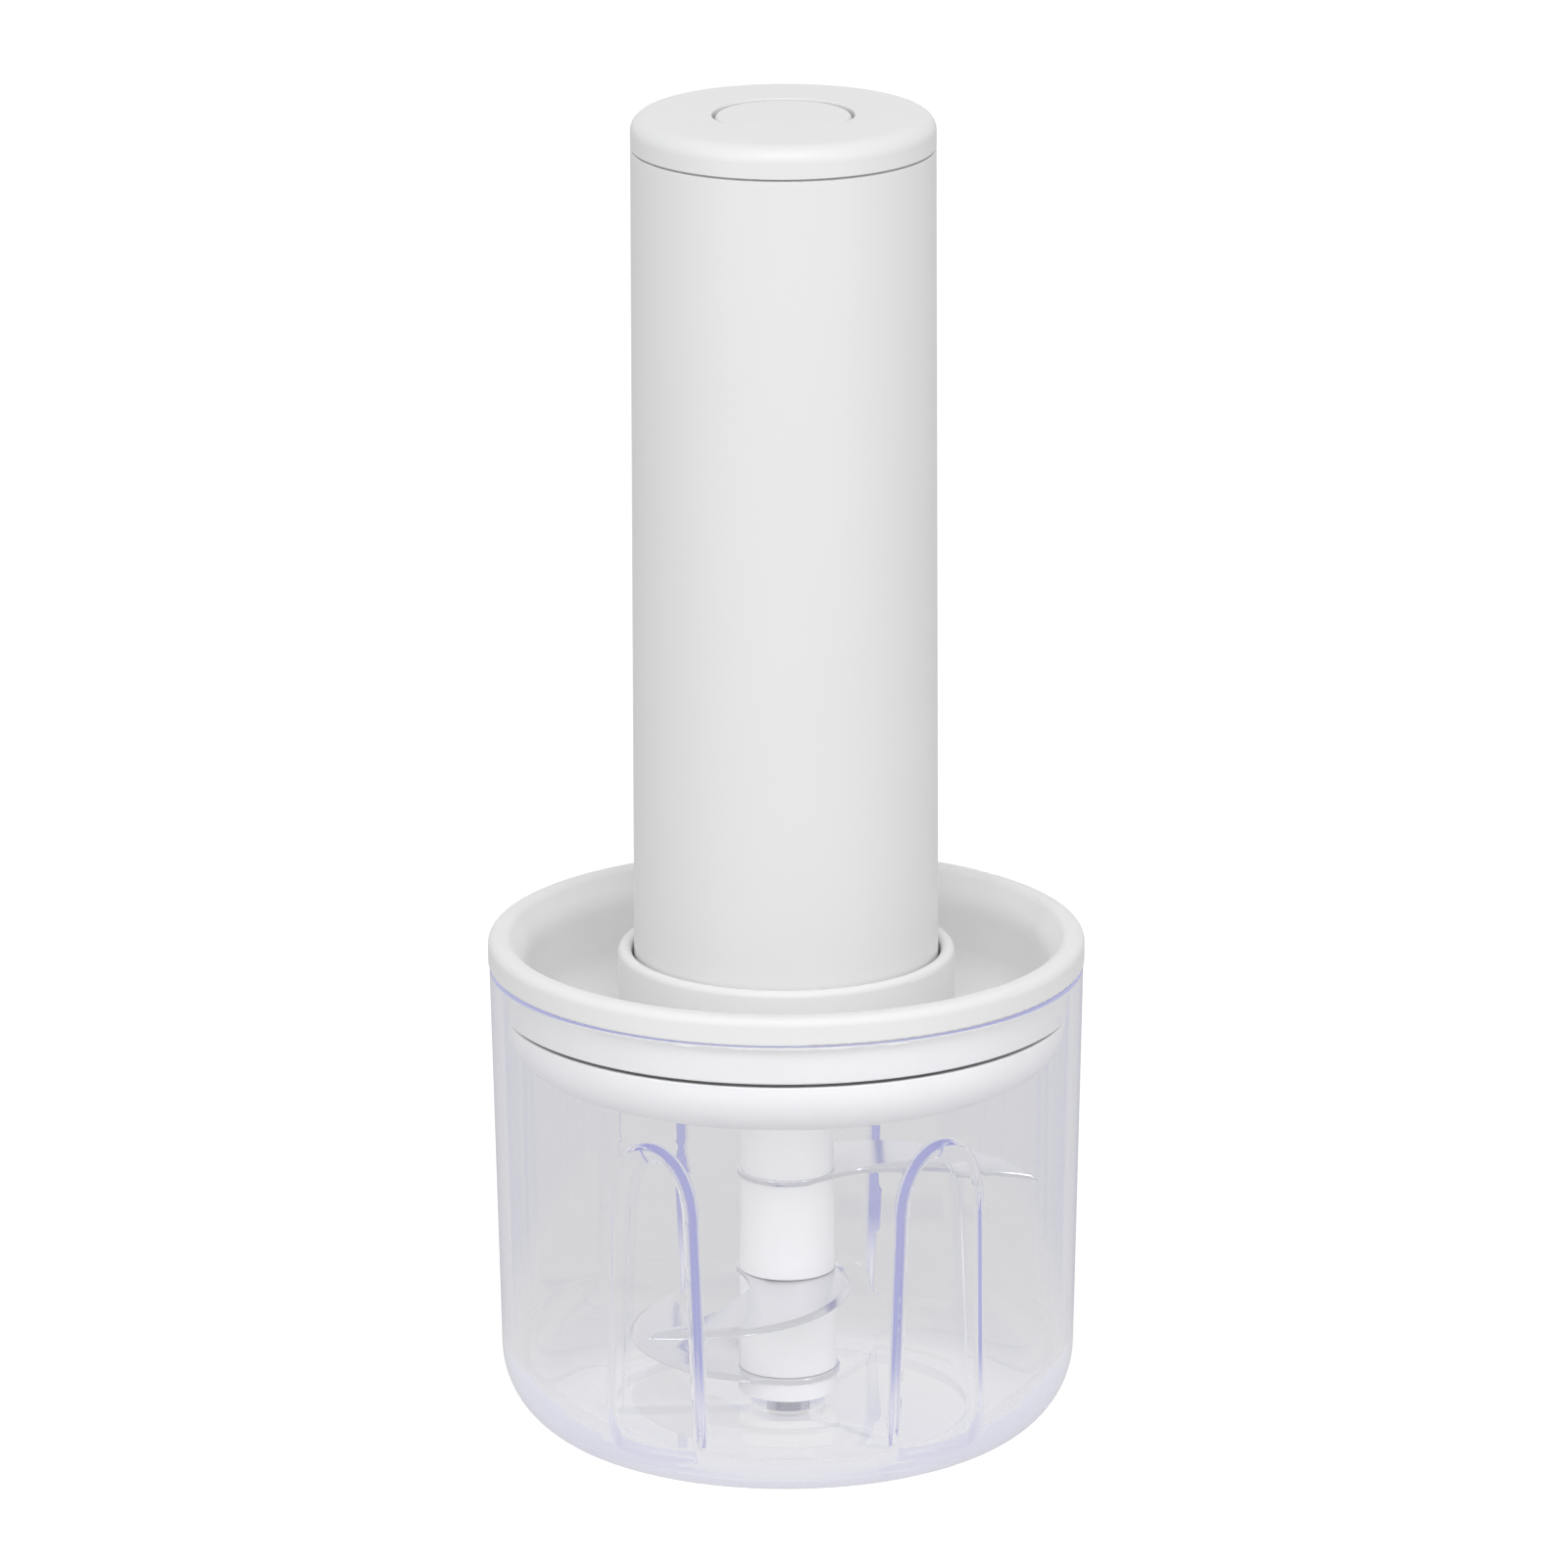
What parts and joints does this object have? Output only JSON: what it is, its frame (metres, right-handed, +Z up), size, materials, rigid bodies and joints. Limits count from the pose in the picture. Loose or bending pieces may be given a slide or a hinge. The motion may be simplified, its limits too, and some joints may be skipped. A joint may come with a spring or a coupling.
{
  "type": "mini food processor",
  "caption": "Cordless mini food processor: clear bowl with arched pockets, stacked sickle blades, dish lid with a collar, and a tall round motor handle with a push button on top.",
  "frame": {"origin": "centre of the bowl's foot ring, on the surface that it stands on", "axes": "+Z up along the axis of the bowl, blades and handle; -Y towards the front, between two of the bowl's arch pockets"},
  "size_m": [0.0882, 0.0882, 0.1999],
  "materials": {
    "clear_plastic": "clear, polished",
    "white_plastic": "satin moulded",
    "white_silicone": "satin",
    "bearing_plastic": "smooth moulded",
    "white_hub": "smooth moulded",
    "blade_steel": "stamped and ground",
    "steel": "turned",
    "zinc_steel": "zinc plated",
    "silicon_steel": "stacked laminations",
    "ferrite": "sintered",
    "carbon": "pressed carbon",
    "copper": "enamelled",
    "brass": "stamped",
    "bronze": "sintered",
    "nickel": "rolled strip",
    "cell_wrap": "shrink film over a steel can",
    "wire_insulation": "soft sleeve",
    "black_plastic": "moulded",
    "black_rubber": "moulded",
    "circuit_board": "solder mask"
  },
  "bodies": {
    "bowl": {"bowl": "clear_plastic", "pivot_pin": "steel"},
    "lid": {"lid_dish": "white_plastic", "lid_seal": "white_silicone", "lid_bush": "bearing_plastic"},
    "motor_unit": {"handle_shell": "white_plastic", "top_cap": "white_plastic", "button_dome": "white_silicone", "switch_board": "circuit_board", "tact_switch": "black_plastic", "charge_socket": "steel", "battery_cell": "cell_wrap", "battery_cradle": "black_plastic", "battery_tabs": "nickel", "lead_wires": "wire_insulation", "motor_can": "zinc_steel", "motor_mount": "black_plastic", "motor_screws": "steel", "motor_magnets": "ferrite", "motor_end_cap": "black_plastic", "motor_brushes": "carbon", "motor_terminals": "brass", "motor_bearings": "bronze", "bottom_cover": "white_plastic", "cover_screws": "steel", "shaft_seal": "black_rubber"},
    "charge_flap": {"charge_cover": "white_silicone"},
    "button": {"power_button": "white_plastic"},
    "rotor": {"rotor_shaft": "steel", "armature_core": "silicon_steel", "armature_windings": "copper", "commutator": "copper", "drive_coupling": "bearing_plastic"},
    "blade_stack": {"hub_core": "white_hub", "hub_upper_spacer": "white_hub", "hub_lower_spacer": "white_hub", "hub_foot": "white_hub", "hub_bush": "bronze", "upper_blade": "blade_steel", "middle_blade": "blade_steel", "lower_blade": "blade_steel"}
  },
  "joints": [
    {"name": "lid_lift", "type": "slide", "parent": "bowl", "child": "lid", "axis": [0, 0, 1], "range_m": [0, 0.08]},
    {"name": "unit_lift", "type": "slide", "parent": "lid", "child": "motor_unit", "axis": [0, 0, 1], "range_m": [0, 0.06]},
    {"name": "motor_spin", "type": "hinge", "parent": "motor_unit", "child": "rotor", "pos_m": [0, 0, 0.087], "axis": [0, 0, 1], "continuous": true},
    {"name": "blade_spin", "type": "hinge", "parent": "bowl", "child": "blade_stack", "pos_m": [0, 0, 0.02], "axis": [0, 0, 1], "continuous": true},
    {"name": "button_press", "type": "slide", "parent": "motor_unit", "child": "button", "axis": [0, 0, -1], "range_m": [0, 0.0012], "stiffness_N_per_m": 1500, "deforming": ["button_dome"]},
    {"name": "charge_cover_hinge", "type": "hinge", "parent": "motor_unit", "child": "charge_flap", "pos_m": [0, 0.02226, 0.18703], "axis": [-1, 0, 0], "range_deg": [0, 100]}
  ],
  "couplings": [
    {"joint": "blade_spin", "follows": "motor_spin", "ratio": 1}
  ]
}
